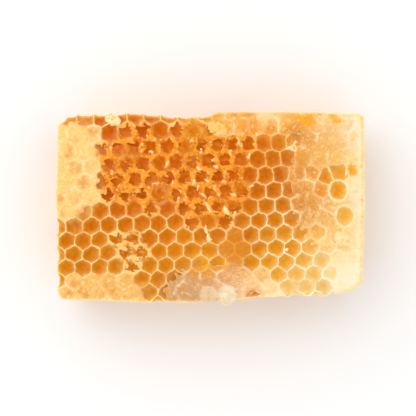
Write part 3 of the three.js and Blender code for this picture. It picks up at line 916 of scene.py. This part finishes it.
class Shading:
    """A material that takes its colour from a piece's tint, which noise makes deeper or paler."""

    def __init__(self, name, look):
        self.material = bpy.data.materials.new(name)
        self.material.use_nodes = True
        self.nodes, self.links = self.material.node_tree.nodes, self.material.node_tree.links
        self.shader = self.nodes["Principled BSDF"]
        self.set_inputs(self.shader, {
            "Roughness": look["roughness"], "Specular IOR Level": look["gloss"],
            "Subsurface Weight": 1.0, "Subsurface Radius": look["scatter"],
            "Subsurface Scale": look["reach"] * MM,
            "Coat Weight": look["coat"], "Coat Roughness": 0.05,
        })
        self.tint = self.nodes.new("ShaderNodeVertexColor")
        self.tint.layer_name = "tint"
        self.place = self.nodes.new("ShaderNodeTexCoord").outputs["Object"]

    def set_inputs(self, node, inputs):
        """Each input gets a constant, or a link from another node's output."""
        for socket, value in inputs.items():
            if isinstance(value, bpy.types.NodeSocket):
                self.links.new(value, node.inputs[socket])
            else:
                node.inputs[socket].default_value = value

    def add(self, kind, inputs):
        """A new node with its inputs set."""
        node = self.nodes.new(kind)
        self.set_inputs(node, inputs)
        return node

    def noise(self, per_metre, detail):
        """Noise that is fixed to the piece."""
        inputs = {"Vector": self.place, "Scale": per_metre, "Detail": detail}
        return self.add("ShaderNodeTexNoise", inputs).outputs["Fac"]

    def mottle(self, noise, deepest, palest):
        """A power for the tint, which goes from the deepest shade to the palest with the noise."""
        inputs = {"Value": noise, "From Min": 0.3, "From Max": 0.7, "To Min": deepest, "To Max": palest}
        return self.add("ShaderNodeMapRange", inputs).outputs["Result"]

    def finish(self, power, height, strength):
        """Links the tint, raised to a power, and a bump of a fifth of a millimetre at most."""
        shade = self.add("ShaderNodeGamma", {"Color": self.tint.outputs["Color"], "Gamma": power})
        bump = self.add("ShaderNodeBump", {"Height": height, "Strength": strength, "Distance": 0.2 * MM})
        shown = {"Base Color": shade.outputs["Color"], "Normal": bump.outputs["Normal"]}
        self.set_inputs(self.shader, shown)
        return self.material


def wax_material():
    """Smooth on the walls, and granular with crystals of honey in the caps."""
    wax = Shading("wax", WAX_LOOK)
    fine, coarse = wax.noise(per_metre=900, detail=5), wax.noise(per_metre=1500, detail=3)
    blend = wax.add("ShaderNodeMix", {
        "Factor": wax.tint.outputs["Alpha"],
        "A": wax.mottle(fine, deepest=1.1, palest=0.9), "B": wax.mottle(coarse, deepest=1.22, palest=0.8),
    })
    return wax.finish(blend.outputs["Result"], height=fine, strength=0.4)


def honey_material():
    """Glossy, with a faint haze."""
    honey = Shading("honey", HONEY_LOOK)
    haze = honey.noise(per_metre=800, detail=5)
    return honey.finish(honey.mottle(haze, deepest=1.14, palest=0.9), height=haze, strength=0.1)


# ---- the stage ----
CAMERA = {"lens": 85, "x": -0.8, "y": 0.0, "frame_width": 132.5, "nearest": 10}
SKY = {"sides": 1.09, "overhead": 0.1, "from": 0.9, "to": 0.97}  # brightness, and where it changes
KEY_LAMP = {"place": (-0.6, 0.6, 0.84), "size": 1.5, "power": 5.4}  # in metres and watts
FLOOR = {"size": 4, "grey": 0.92, "roughness": 0.9}  # its size in metres


def make_camera():
    """A camera straight above, as in the photograph."""
    camera = bpy.data.objects.new("camera", bpy.data.cameras.new("camera"))
    camera.data.lens = CAMERA["lens"]
    camera.data.clip_start = CAMERA["nearest"] * MM
    distance = CAMERA["frame_width"] * CAMERA["lens"] / camera.data.sensor_width
    camera.location = (CAMERA["x"] * MM, CAMERA["y"] * MM, (RIM_HEIGHT + distance) * MM)
    bpy.context.scene.collection.objects.link(camera)
    bpy.context.scene.camera = camera


def make_sky():
    """A white studio, dim overhead, so that a level wet face keeps its colour."""
    world = bpy.data.worlds.new("studio")
    world.use_nodes = True
    nodes, links = world.node_tree.nodes, world.node_tree.links
    place = nodes.new("ShaderNodeTexCoord")
    parts = nodes.new("ShaderNodeSeparateXYZ")
    fade = nodes.new("ShaderNodeMapRange")
    fade.interpolation_type = "SMOOTHSTEP"
    sockets = {"From Min": "from", "From Max": "to", "To Min": "sides", "To Max": "overhead"}
    for socket, value in sockets.items():
        fade.inputs[socket].default_value = SKY[value]
    links.new(place.outputs["Generated"], parts.inputs["Vector"])
    links.new(parts.outputs["Z"], fade.inputs["Value"])
    links.new(fade.outputs["Result"], nodes["Background"].inputs["Strength"])
    nodes["Background"].inputs["Color"].default_value = (1, 1, 1, 1)
    bpy.context.scene.world = world


def make_key_lamp():
    """A large soft lamp from behind on the left, turned to the comb."""
    lamp = bpy.data.objects.new("key", bpy.data.lights.new("key", "AREA"))
    lamp.data.size = KEY_LAMP["size"]
    lamp.data.energy = KEY_LAMP["power"]
    lamp.location = KEY_LAMP["place"]
    lamp.rotation_euler = (-Vector(KEY_LAMP["place"])).to_track_quat("-Z", "Y").to_euler()
    bpy.context.scene.collection.objects.link(lamp)


def make_floor():
    """Plain pale paper."""
    bpy.ops.mesh.primitive_plane_add(size=FLOOR["size"])
    floor = bpy.context.object
    floor.name = "floor"
    paper = bpy.data.materials.new("paper")
    paper.use_nodes = True
    shader, grey = paper.node_tree.nodes["Principled BSDF"], FLOOR["grey"]
    shader.inputs["Base Color"].default_value = (grey, grey, grey, 1)
    shader.inputs["Roughness"].default_value = FLOOR["roughness"]
    floor.data.materials.append(paper)


# ---- the whole piece ----
ABOVE_RIMS = 2  # room for the lumps
ABOVE_FLOOR = 0.02
LAYERS = (
    {"name": "upper", "cells": UPPER_CELLS, "span": (MIDRIB_HEIGHT, RIM_HEIGHT + ABOVE_RIMS),
     "most_wax": 195000, "most_honey": 120000},
    {"name": "lower", "cells": LOWER_CELLS, "span": (ABOVE_FLOOR, MIDRIB_HEIGHT),
     "most_wax": 120000, "most_honey": 60000},
)


def make_layer(layer, wax, honey):
    """The wax and the honey of one cell layer, each a piece of at most so many triangles."""
    origin, wax_field, honey_field = make_fields(*layer["span"])
    comb, places = piece_from_field(f"{layer['name']}_wax", wax_field, origin, layer["most_wax"])
    paint(comb, *wax_tint(*places))
    comb.data.materials.append(wax)
    filling, places = piece_from_field(f"{layer['name']}_honey", honey_field, origin, layer["most_honey"])
    paint(filling, honey_tint(layer["cells"], *places), np.zeros(len(places[0])))
    filling.data.materials.append(honey)
    for piece, slot in ((comb, "wax"), (filling, "honey")):
        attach(piece, "root")
        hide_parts("honeycomb")


bpy.context.scene.view_settings.view_transform = "Standard"
make_camera()
make_sky()
make_key_lamp()
make_floor()
wax, honey = wax_material(), honey_material()
for layer in LAYERS:
    make_layer(layer, wax, honey)
